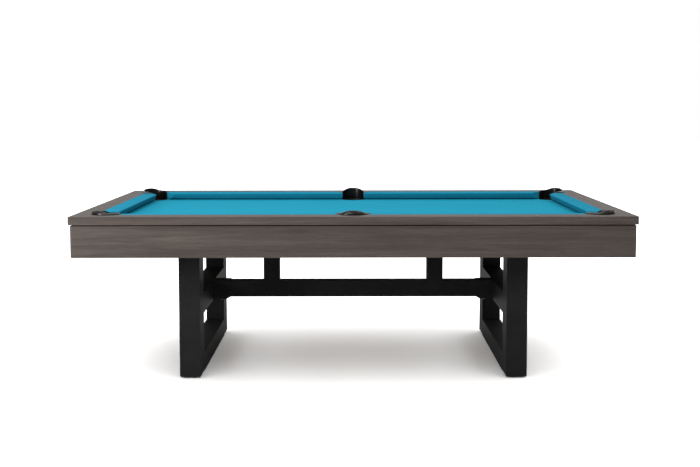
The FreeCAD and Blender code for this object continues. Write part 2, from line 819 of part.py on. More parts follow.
def make_socket(end):
    """A welded sleeve that holds the stretcher's end, cut back at a slant below."""
    hand = "left" if end < 0 else "right"
    inner_face = "(leg_x - leg_width / 2)"
    mouth = f"({inner_face} - socket_length)"
    low = "(stretcher_low - socket_drop)"
    high = "(stretcher_low + stretcher_side + socket_wall)"
    points = [
        (f"{end} * {inner_face}", low),
        (f"{end} * {inner_face}", high),
        (f"{end} * {mouth}", high),
        (f"{end} * {mouth}", f"{low} + slant_height"),
        (f"{end} * ({mouth} + slant_length)", low),
    ]
    width = "stretcher_side + 2 * socket_wall"
    block = padded(f"{hand}_socket_block", "XZ_Plane", points, width, both_ways=True)
    half = "stretcher_side / 2"
    x = sorted((f"{end} * ({mouth} - {PAST})", f"{end} * ({inner_face} + {PAST})"), key=value)
    z = ("stretcher_low", "stretcher_low + stretcher_side")
    passage = box(f"{hand}_passage", x, (f"-{half}", half), z)
    node(cut(f"{hand}_socket", block, passage, base_bolts), f"{hand}_stretcher_socket")


def make_support(end):
    """A square post from the stretcher up to the cabinet, with a flange at its top."""
    hand = "left" if end < 0 else "right"
    half = "support_side / 2"
    x = (f"{end} * support_x - {half}", f"{end} * support_x + {half}")
    z = ("stretcher_low + stretcher_side", BASE_TOP)
    post = tube(f"{hand}_support", x, (f"-{half}", half), z, "tube_wall", "tube_wall", OPEN_END)
    node(post, f"{hand}_support_post")
    size = ("support_side", "flange_length", "plate_thick")
    return centred_box(f"{hand}_flange", f"{end} * support_x", "0", BASE_TOP, *size)


for frame_end in (-1, 1):
    for post_side in (-1, 1):
        make_post(frame_end, post_side)
    make_leg(frame_end)
    make_socket(frame_end)
make_stretcher()
flanges = group("flange_set", *[make_support(end) for end in (-1, 1)])
node(cut("flanges", flanges, base_bolts), "support_flanges")


# Levelling feet: a threaded insert in each post, a stem that screws in it and a pad below
def foot_nut(name, x, y):
    height = "nut_top - foot_gap"
    sleeve = rod(f"{name}_sleeve", x, y, "foot_gap", "nut_radius", height)
    recess = rod(f"{name}_recess", x, y, "0", "nut_recess_radius", "nut_recess_top")
    bore = rod(f"{name}_bore", x, y, "0", "stem_radius + thread_gap", f"nut_top + {PAST}")
    return cut(f"{name}_nut", sleeve, recess, bore)


def make_foot(name, x, y):
    disc = rod(f"{name}_disc", x, y, "0", "pad_radius", "pad_thick")
    seat = rod(f"{name}_seat", x, y, "pad_thick / 2", "stem_radius + neck_gap", "pad_thick")
    node(cut(f"{name}_pad", disc, seat), f"{name}_foot_pad")
    low = "pad_thick / 2 + neck_gap"
    shank = rod(f"{name}_shank", x, y, low, "stem_radius", f"stem_top - ({low})")
    height = "nut_recess_top - pad_thick - 2 * collar_gap"
    flats = hexagon(f"{name}_flats", x, y, "pad_thick + collar_gap", "collar_flats", height)
    node(fuse(f"{name}_stem", shank, flats), f"{name}_foot_stem")


foot_nuts = []
for frame_end, hand in ((-1, "left"), (1, "right")):
    for post_side, face in ((-1, "front"), (1, "rear")):
        foot_x = f"{frame_end} * leg_x"
        foot_y = f"{post_side} * {POST_Y}"
        foot_nuts.append(foot_nut(f"{face}_{hand}", foot_x, foot_y))
        make_foot(f"{face}_{hand}", foot_x, foot_y)
node(group("nuts", *foot_nuts), "foot_nuts")

doc.recompute()

problems = []
for thing in doc.Objects:
    if "Invalid" in thing.State or "Error" in thing.State:
        problems.append(f"{thing.Name} failed: {thing.State}")
for part in nodes:
    if part.Shape.isNull() or not part.Shape.isValid() or not part.Shape.Solids:
        problems.append(f"{part.Label} has no valid shape")
if problems:
    raise RuntimeError("; ".join(problems))

os.makedirs("parts", exist_ok=True)
for part in nodes:
    part.Shape.exportStep(f"parts/{part.Label}.step")
    litres = part.Shape.Volume / 1e6
    print(f"{part.Label}: {len(part.Shape.Solids)} solids, {litres:.3f} litres")
print(f"{len(nodes)} sub-parts")
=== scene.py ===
import math
from collections import namedtuple

import bmesh
import bpy
from mathutils import Matrix, Vector


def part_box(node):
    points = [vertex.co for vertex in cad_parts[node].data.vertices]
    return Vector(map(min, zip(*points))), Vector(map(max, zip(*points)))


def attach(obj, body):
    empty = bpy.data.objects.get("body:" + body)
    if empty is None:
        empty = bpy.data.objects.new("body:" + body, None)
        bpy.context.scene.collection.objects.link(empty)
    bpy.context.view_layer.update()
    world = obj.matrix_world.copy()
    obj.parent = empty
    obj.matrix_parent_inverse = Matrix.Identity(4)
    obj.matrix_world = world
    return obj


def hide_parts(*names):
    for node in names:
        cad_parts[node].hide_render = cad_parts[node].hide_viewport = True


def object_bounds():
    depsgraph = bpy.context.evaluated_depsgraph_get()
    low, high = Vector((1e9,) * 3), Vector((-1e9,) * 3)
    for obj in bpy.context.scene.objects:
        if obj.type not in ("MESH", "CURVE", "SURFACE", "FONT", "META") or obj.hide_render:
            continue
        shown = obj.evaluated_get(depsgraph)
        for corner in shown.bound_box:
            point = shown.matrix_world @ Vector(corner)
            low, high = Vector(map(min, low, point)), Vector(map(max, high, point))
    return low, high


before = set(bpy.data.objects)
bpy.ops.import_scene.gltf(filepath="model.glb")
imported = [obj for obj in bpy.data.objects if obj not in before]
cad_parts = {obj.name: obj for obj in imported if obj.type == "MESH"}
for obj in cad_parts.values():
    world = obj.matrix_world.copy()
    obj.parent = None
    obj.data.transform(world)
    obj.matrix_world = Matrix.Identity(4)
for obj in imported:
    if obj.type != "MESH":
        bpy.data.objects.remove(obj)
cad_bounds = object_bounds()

# A pool table in metres: +X along the table, -Y its front, +Z up, floor at z = 0.
# The wood, slate, rubber and steel are the CAD nodes. The cloths, collars and bags are made here.

TABLE = "table"
MM = 0.001

# Heights and reaches read from the CAD nodes
BED_LOW, BED_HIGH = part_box("bed_cloth")
BED_UNDER = BED_LOW.z
BED_TOP = BED_HIGH.z
SLATE_X = BED_HIGH.x
SLATE_Y = BED_HIGH.y
RAIL_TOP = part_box("front_rail")[1].z
HALF_X = cad_bounds[1].x
HALF_Y = cad_bounds[1].y

# Rails, measured in from the table's outer edges
RAIL_DEPTH = 177 * MM
CORNER_INSET = 151 * MM
SIDE_INSET = 139 * MM
NOSE_X = HALF_X - RAIL_DEPTH
NOSE_Y = HALF_Y - RAIL_DEPTH

# Radii round a pocket's middle
RAIL_HOLE = 68 * MM
SLATE_HOLE = 66 * MM
COLLAR_IN = 60 * MM
COLLAR_OUT = 76 * MM

# Cushion ends: how far short of the pocket the nose stops, and how the facing slants back from it
CORNER_NOSE = 85 * MM
CORNER_FACE = math.radians(38)
SIDE_NOSE = 63 * MM
SIDE_FACE = math.radians(14)
FACING_COVER = 1.1 * MM  # how far the cloth stands proud of the rubber's ends

# A collar's shape, with angles in degrees round from its back and heights and widths in mm: the span to
# each tip, the rise of its wings, the further rise of its back and where that has fallen away, then how
# its lip widens along the wings and narrows to the tips.
CollarShape = namedtuple(
    "CollarShape", "span wing back fall widening widens_from widens_to narrowing narrows_from",
)
SIDE_COLLAR = CollarShape(
    span=104, wing=4.6, back=14.9, fall=72,
    widening=6.5, widens_from=52, widens_to=84, narrowing=3.0, narrows_from=92,
)
CORNER_COLLAR = CollarShape(
    span=127, wing=6.6, back=12.9, fall=70,
    widening=2.5, widens_from=40, widens_to=80, narrowing=11.0, narrows_from=100,
)
CREST_FLAT = 13  # degrees each way that the back's crest stays level

# out_x and out_y are the signs of the way from the playing field out through the pocket's back
Pocket = namedtuple("Pocket", "name x y out_x out_y collar")


def list_pockets():
    """The six pockets, front row first, each from left to right."""
    pockets = []
    for row, out_y in (("front", -1), ("rear", 1)):
        for column, out_x in (("left", -1), ("side", 0), ("right", 1)):
            inset, shape = (CORNER_INSET, CORNER_COLLAR) if out_x else (SIDE_INSET, SIDE_COLLAR)
            x = out_x * (HALF_X - inset)
            y = out_y * (HALF_Y - inset)
            pockets.append(Pocket(f"{row}_{column}", x, y, out_x, out_y, shape))
    return pockets


POCKETS = list_pockets()


# ---------------------------------------------------------------- materials


class Shader:
    """A node material being built: its Principled shader and short ways to add nodes."""

    def __init__(self, name):
        self.material = bpy.data.materials.new(name)
        self.material.use_nodes = True
        self.nodes = self.material.node_tree.nodes
        self.links = self.material.node_tree.links
        self.surface = self.nodes["Principled BSDF"]
        self.place = self.add("ShaderNodeTexCoord").outputs["Object"]

    def add(self, kind, **settings):
        node = self.nodes.new(kind)
        for name, value in settings.items():
            setattr(node, name, value)
        return node

    def link(self, out, into):
        self.links.new(out, into)

    def stretched(self, scale=(1, 1, 1), shift=(0, 0, 0)):
        """The object's coordinates, scaled along each axis."""
        mapping = self.add("ShaderNodeMapping")
        self.link(self.place, mapping.inputs["Vector"])
        mapping.inputs["Scale"].default_value = scale
        mapping.inputs["Location"].default_value = shift
        return mapping.outputs["Vector"]

    def noise(self, vector, scale, detail=4.0, rough=0.55, distortion=0.0):
        """Cloudy noise from 0 to 1."""
        node = self.add("ShaderNodeTexNoise")
        self.link(vector, node.inputs["Vector"])
        node.inputs["Scale"].default_value = scale
        node.inputs["Detail"].default_value = detail
        node.inputs["Roughness"].default_value = rough
        node.inputs["Distortion"].default_value = distortion
        return node.outputs["Fac"]

    def cells(self, vector, scale):
        """The distance from the nearest of many scattered points."""
        node = self.add("ShaderNodeTexVoronoi", feature="F1")
        self.link(vector, node.inputs["Vector"])
        node.inputs["Scale"].default_value = scale
        return node.outputs["Distance"]

    def wave(self, vector, scale, direction, distortion):
        """Parallel ridges across one direction."""
        node = self.add("ShaderNodeTexWave", wave_type="BANDS", bands_direction=direction)
        self.link(vector, node.inputs["Vector"])
        node.inputs["Scale"].default_value = scale
        node.inputs["Distortion"].default_value = distortion
        node.inputs["Detail"].default_value = 1.0
        return node.outputs["Fac"]

    def ramp(self, fac, *stops):
        """A colour ramp through stops of (position, colour)."""
        node = self.add("ShaderNodeValToRGB")
        self.link(fac, node.inputs["Fac"])
        elements = node.color_ramp.elements
        while len(elements) < len(stops):
            elements.new(0.5)
        for element, (position, colour) in zip(elements, stops):
            element.position = position
            element.color = (*colour, 1.0)
        return node.outputs["Color"]

    def between(self, fac, low, high):
        """A number that runs from low to high as fac runs from 0 to 1."""
        node = self.add("ShaderNodeMapRange")
        self.link(fac, node.inputs["Value"])
        node.inputs["To Min"].default_value = low
        node.inputs["To Max"].default_value = high
        return node.outputs["Result"]

    def multiply(self, share, base, layer):
        """A base colour darkened or lightened by a share of a layer."""
        node = self.add("ShaderNodeMix", data_type="RGBA", blend_type="MULTIPLY")
        node.inputs[0].default_value = share
        self.link(base, node.inputs[6])
        self.link(layer, node.inputs[7])
        return node.outputs[2]

    def maths(self, operation, a, b):
        """A sum or product of two values, where b may be a plain number."""
        node = self.add("ShaderNodeMath", operation=operation)
        self.link(a, node.inputs[0])
        if isinstance(b, bpy.types.NodeSocket):
            self.link(b, node.inputs[1])
        else:
            node.inputs[1].default_value = b
        return node.outputs[0]

    def colour(self, out):
        self.link(out, self.surface.inputs["Base Color"])

    def roughness(self, out):
        self.link(out, self.surface.inputs["Roughness"])

    def bump(self, height, strength, distance):
        node = self.add("ShaderNodeBump")
        node.inputs["Strength"].default_value = strength
        node.inputs["Distance"].default_value = distance
        self.link(height, node.inputs["Height"])
        self.link(node.outputs["Normal"], self.surface.inputs["Normal"])

    def set(self, **values):
        """Sets plain inputs of the surface, named in words joined by underscores."""
        for name, value in values.items():
            socket = name.replace("_", " ").title().replace("Ior", "IOR")
            self.surface.inputs[socket].default_value = value


def oak(name, along, shift):
    """Weathered charcoal oak: fine streaks along one axis, open pores and slow drifts of tone."""
    dark = (0.0180, 0.0133, 0.0110)
    mid = (0.0280, 0.0215, 0.0182)
    light = (0.0400, 0.0320, 0.0276)
    slow, fast = 0.045, 1.0
    s = Shader(name)
    grain = (slow, fast, fast) if along == "X" else (fast, slow, fast)
    streaks = s.stretched(grain, (shift, shift, 0))
    figure = s.noise(streaks, 30.0, 5.0, 0.60, 0.9)
    fibres = s.noise(streaks, 210.0, 5.0, 0.65, 0.3)
    pores = s.noise(streaks, 620.0, 3.0, 0.7)
    drift = s.noise(s.stretched((0.5, 0.5, 1), (shift, 0, 0)), 3.4, 3.0, 0.5)
    tone = s.ramp(figure, (0.30, dark), (0.50, mid), (0.72, light))
    tone = s.multiply(0.70, tone, s.ramp(fibres, (0.33, (0.70, 0.68, 0.66)), (0.64, (1.18, 1.17, 1.16))))
    tone = s.multiply(0.55, tone, s.ramp(drift, (0.34, (0.84, 0.81, 0.79)), (0.66, (1.14, 1.14, 1.15))))
    tone = s.multiply(0.60, tone, s.ramp(pores, (0.34, (0.50, 0.47, 0.45)), (0.43, (1, 1, 1))))
    s.colour(tone)
    s.roughness(s.between(fibres, 0.46, 0.62))
    s.bump(s.maths("ADD", s.maths("MULTIPLY", pores, 0.7), fibres), 0.30, 0.0004)
    s.set(specular_ior_level=0.18)
    return s.material


def softwood(name):
    """Planed softwood with soft brown growth rings."""
    s = Shader(name)
    rings = s.noise(s.stretched((0.12, 1.0, 1.0)), 60.0, 4.0, 0.6, 1.0)
    late, mid, early = (0.30, 0.19, 0.10), (0.46, 0.32, 0.18), (0.56, 0.42, 0.26)
    s.colour(s.ramp(rings, (0.32, late), (0.52, mid), (0.72, early)))
    s.roughness(s.between(rings, 0.55, 0.75))
    s.bump(rings, 0.3, 0.0006)
    return s.material


def shadow_paint(name):
    """Black stain on the strips in the gap between the rails and the aprons, darkened to near-black as
    painted shade for the deep gap.
    """
    s = Shader(name)
    grain = s.noise(s.stretched((0.2, 0.2, 1.0)), 90.0)
    # near-black tones: partly the strips' black stain, partly painted shade for the gap under the rails
    s.colour(s.ramp(grain, (0.35, (0.0025, 0.002, 0.0018)), (0.7, (0.006, 0.005, 0.0045))))
    s.roughness(s.between(grain, 0.6, 0.8))
    s.bump(grain, 0.2, 0.0003)
    s.set(specular_ior_level=0.05)
    return s.material


def powder_coat(name):
    """Satin black powder coat: a fine orange-peel skin over slow clouds of tone."""
    s = Shader(name)
    even = s.stretched()
    peel = s.noise(even, 900.0, 2.0, 0.5)
    cloud = s.noise(even, 9.0, 5.0, 0.6)
    s.colour(s.ramp(cloud, (0.3, (0.0065, 0.0065, 0.0068)), (0.7, (0.0095, 0.0095, 0.0098))))
    s.roughness(s.between(cloud, 0.50, 0.62))
    s.bump(peel, 0.12, 0.0002)
    s.set(specular_ior_level=0.01)
    return s.material


def billiard_cloth(name, shade):
    """Napped worsted cloth: crossing threads under a fine fuzz."""
    s = Shader(name)
    even = s.stretched()
    warp = s.wave(even, 620.0, "X", 0.6)
    weft = s.wave(even, 620.0, "Y", 0.6)
    fuzz = s.noise(even, 1500.0, 3.0, 0.7)
    nap = s.noise(s.stretched((0.35, 1.0, 1.0)), 14.0, 6.0, 0.65)
    dark = tuple(channel * 0.95 for channel in shade)
    light = tuple(channel * 1.05 for channel in shade)
    tone = s.ramp(nap, (0.30, dark), (0.50, shade), (0.72, light))
    tone = s.multiply(0.35, tone, s.ramp(fuzz, (0.30, (0.72, 0.76, 0.78)), (0.68, (1.15, 1.12, 1.10))))
    s.colour(tone)
    s.roughness(s.between(nap, 0.80, 0.95))
    weave = s.maths("MULTIPLY", s.maths("ADD", warp, weft), 0.5)
    s.bump(s.maths("ADD", weave, fuzz), 0.25, 0.0003)
    s.set(sheen_weight=0.03, sheen_roughness=0.45, specular_ior_level=0.02)
    s.surface.inputs["Sheen Tint"].default_value = (0.10, 0.55, 0.80, 1.0)
    return s.material


def leather(name, gloss, shade):
    """Black hide: a pebbled grain with fine creases and a waxed shine."""
    s = Shader(name)
    even = s.stretched()
    pebble = s.cells(even, 620.0)
    crease = s.noise(even, 190.0, 5.0, 0.65, 0.8)
    wear = s.noise(even, 30.0, 4.0, 0.6)
    low = (shade, shade, shade * 1.04)
    high = (shade * 2.6, shade * 2.5, shade * 2.4)
    s.colour(s.ramp(wear, (0.35, low), (0.75, high)))
    s.roughness(s.between(wear, gloss, gloss + 0.14))
    s.bump(s.maths("ADD", s.maths("MULTIPLY", pebble, 0.8), crease), 0.25, 0.0004)
    s.set(specular_ior_level=0.16)
    return s.material


def slate_stone(name):
    """Honed slate: thin dark layers with fine specks."""
    s = Shader(name)
    layers = s.stretched((1, 1, 5))
    cloud = s.noise(layers, 12.0, 8.0, 0.7)
    specks = s.noise(layers, 260.0, 3.0, 0.6)
    tone = s.ramp(cloud, (0.3, (0.035, 0.040, 0.045)), (0.7, (0.075, 0.082, 0.088)))
    s.colour(s.multiply(0.5, tone, s.ramp(specks, (0.3, (0.7, 0.7, 0.7)), (0.7, (1.2, 1.2, 1.2)))))
    s.roughness(s.between(specks, 0.55, 0.75))
    s.bump(specks, 0.3, 0.0006)
    return s.material


def zinc(name):
    """Zinc plate with a fine spangle."""
    s = Shader(name)
    even = s.stretched()
    spangle = s.cells(even, 240.0)
    s.colour(s.ramp(spangle, (0.1, (0.50, 0.51, 0.53)), (0.8, (0.68, 0.68, 0.69))))
    s.roughness(s.between(s.noise(even, 180.0), 0.26, 0.44))
    s.bump(spangle, 0.1, 0.0002)
    s.set(metallic=1.0)
    return s.material


def moulded_rubber(name, low, high):
    """Rubber with a fine grit, in a colour that drifts from low to high."""
    s = Shader(name)
    even = s.stretched()
    grit = s.noise(even, 700.0, 3.0, 0.6)
    s.colour(s.ramp(s.noise(even, 40.0), (0.3, low), (0.7, high)))
    s.roughness(s.between(grit, 0.6, 0.85))
    s.bump(grit, 0.25, 0.0003)
    return s.material


def pearl(name):
    """A dark pearl disc with a faint cloudy lustre."""
    s = Shader(name)
    cloud = s.noise(s.stretched(), 160.0, 4.0, 0.6, 1.5)
    s.colour(s.ramp(cloud, (0.35, (0.020, 0.018, 0.017)), (0.65, (0.070, 0.064, 0.060))))
    s.roughness(s.between(cloud, 0.22, 0.36))
    s.bump(cloud, 0.05, 0.0002)
    s.set(coat_weight=0.4, coat_roughness=0.15)
    return s.material


def thread(name):
    """Waxed black thread, with the twist of its strands."""
    s = Shader(name)
    twist = s.wave(s.stretched(), 900.0, "DIAGONAL", 0.4)
    s.colour(s.ramp(twist, (0.2, (0.010, 0.010, 0.010)), (0.8, (0.045, 0.044, 0.043))))
    s.roughness(s.between(twist, 0.45, 0.7))
    s.bump(twist, 0.4, 0.0002)
    return s.material


def studio_floor(name):
    """White seamless paper."""
    s = Shader(name)
    mottle = s.noise(s.stretched(), 1.5)
    s.colour(s.ramp(mottle, (0.3, (0.90, 0.90, 0.90)), (0.7, (0.93, 0.93, 0.93))))
    s.roughness(s.between(mottle, 0.85, 0.95))
    s.set(specular_ior_level=0.0)
    return s.material


# ---------------------------------------------------------------- mesh helpers


def mesh_piece(name, points, faces, material, smooth=True):
    """A mesh object that rides on the table, with its doubled points merged."""
    mesh = bpy.data.meshes.new(name)
    mesh.from_pydata([tuple(point) for point in points], [], faces)
    mesh.validate()
    mesh.materials.append(material)
    piece = bpy.data.objects.new(name, mesh)
    bpy.context.scene.collection.objects.link(piece)
    merged = bmesh.new()
    merged.from_mesh(mesh)
    bmesh.ops.remove_doubles(merged, verts=merged.verts, dist=1e-6)
    bmesh.ops.recalc_face_normals(merged, faces=merged.faces)
    merged.to_mesh(mesh)
    merged.free()
    for polygon in mesh.polygons:
        polygon.use_smooth = smooth
    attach(piece, TABLE)
    return piece


def grid_faces(rows, columns, base=0, closed=False):
    """Quads over a grid of points listed row by row from base, with each row a closed loop or open."""
    faces = []
    for i in range(rows - 1):
        for j in range(columns if closed else columns - 1):
            here = base + i * columns
            above = here + columns
            beside = (j + 1) % columns
            faces.append((here + j, here + beside, above + beside, above + j))
    return faces


def end_caps(rows, columns, base=0):
    """One face over the first row of a grid with closed rows, and one over its last row."""
    last = base + (rows - 1) * columns
    return [tuple(range(base, base + columns)), tuple(reversed(range(last, last + columns)))]


def smoothstep(low, high, x):
    t = min(1.0, max(0.0, (x - low) / (high - low)))
    return t * t * (3 - 2 * t)


def add_bevel(piece, width, sharper_than=30, harden=False):
    """Rounds the edges that turn by more than an angle in degrees."""
    bevel = piece.modifiers.new("soft_edges", "BEVEL")
    bevel.width = width
    bevel.segments = 2
    bevel.limit_method = "ANGLE"
    bevel.angle_limit = math.radians(sharper_than)
    bevel.harden_normals = harden


# ---------------------------------------------------------------- bed cloth

# The cloth's roll over the edge of a hole in the slate, in mm: out from the hole's wall, and down
HOLE_ROLL = [(3.0, 0.0), (1.6, 0.5), (0.6, 1.5), (0.1, 3.0), (0.0, 5.0), (0.0, 20.0)]
HOLE_STEPS = 28
FLAP = 35 * MM
FLAP_LEAN = 1.2 * MM
CLOTH_SHARE = 0.9  # of the CAD cloth's thickness, so that it stays off the slate


def hole_arc(pocket):
    """Ways from a pocket's middle to points round the playing side of its hole in the slate."""
    start = math.atan2(pocket.out_y, pocket.out_x) + 1.5 * math.pi
    angles = [start - math.pi * i / HOLE_STEPS for i in range(HOLE_STEPS + 1)]
    return [Vector((math.cos(angle), math.sin(angle))) for angle in angles]


def slate_exit(point, pocket):
    """Where a straight side of a slate notch, begun at a point, meets the slate's edge."""
    x, y, _ = point
    reach = SLATE_Y - abs(y)
    if pocket.out_x:
        reach = min(SLATE_X - abs(x), reach)
    return (x + pocket.out_x * reach, y + pocket.out_y * reach, BED_TOP)


def make_bed_cloth(material):
    """The bed cloth: stretched flat, rolled into the pockets and turned down over the slate's edges."""
    front, rear = POCKETS[:3], POCKETS[3:]
    points, faces, ring, exits = [], [], [], []
    for pocket in front + rear[::-1]:
        base = len(points)
        arc = hole_arc(pocket)
        for out, down in HOLE_ROLL:
            for way in arc:
                spot = Vector((pocket.x, pocket.y)) + way * (SLATE_HOLE + out * MM)
                points.append((spot.x, spot.y, BED_TOP - down * MM))
        faces += grid_faces(len(HOLE_ROLL), len(arc), base)
        rim = range(base, base + len(arc))
        entry = len(points)
        points.append(slate_exit(points[rim[0]], pocket))
        points.append(slate_exit(points[rim[-1]], pocket))
        ring += [entry, *rim, entry + 1]
        exits.append((entry, entry + 1))
    faces.append(tuple(ring))
    for (_, a), (b, _) in zip(exits, exits[1:] + exits[:1]):
        faces.append(add_flap(points, a, b))
    cloth = mesh_piece("bed_cloth_sheet", points, faces, material, smooth=False)
    solid = cloth.modifiers.new("thickness", "SOLIDIFY")
    solid.thickness = (BED_TOP - BED_UNDER) * CLOTH_SHARE
    solid.offset = -1
    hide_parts("bed_cloth")


def add_flap(points, a, b):
    """The cloth turned down over one stretch of the slate's edge, between two points of its rim."""
    start, end = Vector(points[a]), Vector(points[b])
    along_x = abs(start.y - end.y) < MM
    outward = Vector((0, start.y, 0)) if along_x else Vector((start.x, 0, 0))
    drop = outward.normalized() * FLAP_LEAN - Vector((0, 0, FLAP))
    low = len(points)
    points.append(tuple(start + drop))
    points.append(tuple(end + drop))
    return (a, b, low + 1, low)


# ---------------------------------------------------------------- cushions

# A cushion's section in its cloth, in mm: depth in from the rail's outer edge, top, and underside
CUSHION_PROFILE = [
    (104.6, 796.5, 759.4), (105.2, 799.4, 759.4), (106.2, 800.2, 759.4), (112.0, 800.3, 759.4),
    (124.0, 800.3, 759.4), (138.0, 800.2, 759.4), (143.0, 800.1, 759.4), (146.1, 800.0, 759.4),
    (148.0, 799.9, 763.8), (158.0, 799.2, 765.2), (162.6, 798.8, 766.2), (164.2, 798.7, 767.6),
    (166.0, 798.5, 770.8), (169.0, 798.15, 776.2), (171.5, 797.8, 780.8), (174.4, 797.1, 786.6),
    (176.2, 796.2, 790.7), (177.0, 794.9, 794.9),
]
CLOTH_FOOT = 7  # the row of the profile where the cloth ends, tacked below the rail
CUSHION_STEPS = 40
CLOTH_GIRTH = 0.145
END_FOLDS = 0.05


def bite(v, inset):
    """Half the width of the round bite that a pocket takes, at depth v out from the noses."""
    off_middle = v - (RAIL_DEPTH - inset)
    return math.sqrt(max(0.0, RAIL_HOLE ** 2 - off_middle ** 2))


def corner_end(v):
    """How far short of the noses' crossing a cushion ends at depth v out from its nose, at a corner."""
    facing = CORNER_NOSE - v / math.tan(CORNER_FACE)
    round_part = bite(v, CORNER_INSET) - (RAIL_DEPTH - CORNER_INSET)
    return max(facing, round_part) - FACING_COVER


def side_end(v):
    """Half the gap between two cushions at depth v out from their noses, at a side pocket."""
    facing = SIDE_NOSE - v * math.tan(SIDE_FACE)
    return max(facing, bite(v, SIDE_INSET)) - FACING_COVER


def make_cushion(name, nose, outward, along, start, end, material):
    """One cushion's cloth: swept along its rail and folded over the angled facings.

    nose is the distance of the nose line from the origin, outward and along are unit vectors,
    and start and end give the position along the rail at depth v.
    """
    path = [(depth, top) for depth, top, _ in CUSHION_PROFILE]
    path += [(depth, under) for depth, _, under in reversed(CUSHION_PROFILE[CLOTH_FOOT:-1])]
    points = []
    for i in range(CUSHION_STEPS + 1):
        share = i / CUSHION_STEPS
        for depth, height in path:
            v = RAIL_DEPTH - depth * MM
            s = start(v) + (end(v) - start(v)) * share
            spot = outward * (nose + v) + along * s
            points.append((spot.x, spot.y, height * MM))
    faces = grid_faces(CUSHION_STEPS + 1, len(path))
    for step in (0, CUSHION_STEPS):
        faces += close_end(points, step * len(path), len(path))
    cloth = mesh_piece(name, points, faces, material)
    add_bevel(cloth, 1.0 * MM, sharper_than=40, harden=True)
    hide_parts("rail_cloths")
    flat = (CLOTH_GIRTH, abs(end(0) - start(0)) + END_FOLDS)


def close_end(points, base, columns):
    """The cloth folded over a cushion's facing: quads from each point on top to the one below it."""
    below = []
    for row, (_, _, under) in enumerate(CUSHION_PROFILE):
        if row < CLOTH_FOOT:
            x, y, _ = points[base + row]
            below.append(len(points))
            points.append((x, y, under * MM))
        else:
            below.append(base + columns - 1 - (row - CLOTH_FOOT))
    faces = []
    for row in range(len(CUSHION_PROFILE) - 1):
        face = (base + row, base + row + 1, below[row + 1], below[row])
        faces.append(tuple(dict.fromkeys(face)))
    return faces


def make_cushions(material):
    """Six cushions: two on each long rail and one on each end rail."""
    for row, sign in (("front", -1), ("rear", 1)):
        for hand, side in (("left", -1), ("right", 1)):
            make_cushion(
                f"{row}_{hand}_cushion_cloth", NOSE_Y, Vector((0, sign)), Vector((side, 0)),
                side_end, lambda v: NOSE_X - corner_end(v), material,
            )
    for hand, side in (("left", -1), ("right", 1)):
        make_cushion(
            f"{hand}_end_cushion_cloth", NOSE_X, Vector((side, 0)), Vector((0, 1)),
            lambda v: corner_end(v) - NOSE_Y, lambda v: NOSE_Y - corner_end(v), material,
        )


# ---------------------------------------------------------------- pockets

COLLAR_STEPS = 84
GROOVE_POINT = 11  # the point of a collar's section that lies in its stitched groove
STITCH_PITCH = 4.2 * MM
STITCH_HALF = 1.35 * MM
STITCH_THICK = 0.42 * MM
BAG_WALL = 3.2 * MM
BAG_BELOW_BED = 1.5 * MM
BAG_SIDES = 48


def pocket_place(pocket):
    """A pocket's own frame: its back along +X, and its heights those of the table."""
    turn = Matrix.Rotation(math.atan2(pocket.out_y, pocket.out_x), 4, "Z")
    return Matrix.Translation((pocket.x, pocket.y, 0)) @ turn


def crest_height(turn, shape):
    """Height of a collar's crest above the rail, from its high back round to its thin tips."""
    wing = shape.wing * (1 - smoothstep(0.86 * shape.span, shape.span, turn))
    back = shape.back * (1 - smoothstep(CREST_FLAT, shape.fall, turn))
    return (2.0 + wing + back) * MM


def lip_reach(turn, shape):
    """Outer radius of a collar: wider along its wings, and drawn in to a point at each tip."""
    wider = shape.widening * smoothstep(shape.widens_from, shape.widens_to, turn)
    narrower = shape.narrowing * smoothstep(shape.narrows_from, shape.span, turn)
    return COLLAR_OUT + (wider - narrower) * MM


def collar_section(turn, shape):
    """The collar's outline at one angle: skirt, inner wall, rolled crest, stitched groove, outer lip."""
    inner = COLLAR_IN
    outer = lip_reach(turn, shape)
    rise = crest_height(turn, shape)
    top = RAIL_TOP + rise
    lip = RAIL_TOP + 0.45 * MM
    roll = min(3.4 * MM, 0.45 * rise + 0.3 * MM)
    groove = min(1.3 * MM, 0.16 * rise)
    return [
        (inner + 7.6 * MM, BED_TOP + 0.8 * MM),
        (inner + 4.6 * MM, BED_TOP + 0.8 * MM),
        (inner + 4.0 * MM, BED_UNDER - 0.9 * MM),
        (inner + 0.6 * MM, BED_UNDER - 0.9 * MM),
        (inner + 0.2 * MM, BED_TOP + 3 * MM),
        (inner + 0.2 * MM, BED_TOP + 20 * MM),
        (inner + 0.2 * MM, RAIL_TOP - 4 * MM),
        (inner + 0.4 * MM, top - 1.4 * roll),
        (inner + 1.3 * MM, top - 0.45 * roll),
        (inner + 3.2 * MM, top),
        (inner + 5.2 * MM, top - 0.40 * roll),
        (inner + 6.6 * MM, top - groove - 0.30 * roll),
        (inner + 8.4 * MM, top - 0.34 * roll),
        (outer - 3.6 * MM, top - 0.30 * rise),
        (outer - 1.4 * MM, top - 0.56 * rise),
        (outer - 0.2 * MM, lip + 0.14 * rise + 0.2 * MM),
        (outer - 0.1 * MM, lip + 0.2 * MM),
        (outer - 0.9 * MM, lip),
        (outer - 4.0 * MM, lip),
        (inner + 7.6 * MM, lip - 0.2 * MM),
    ]


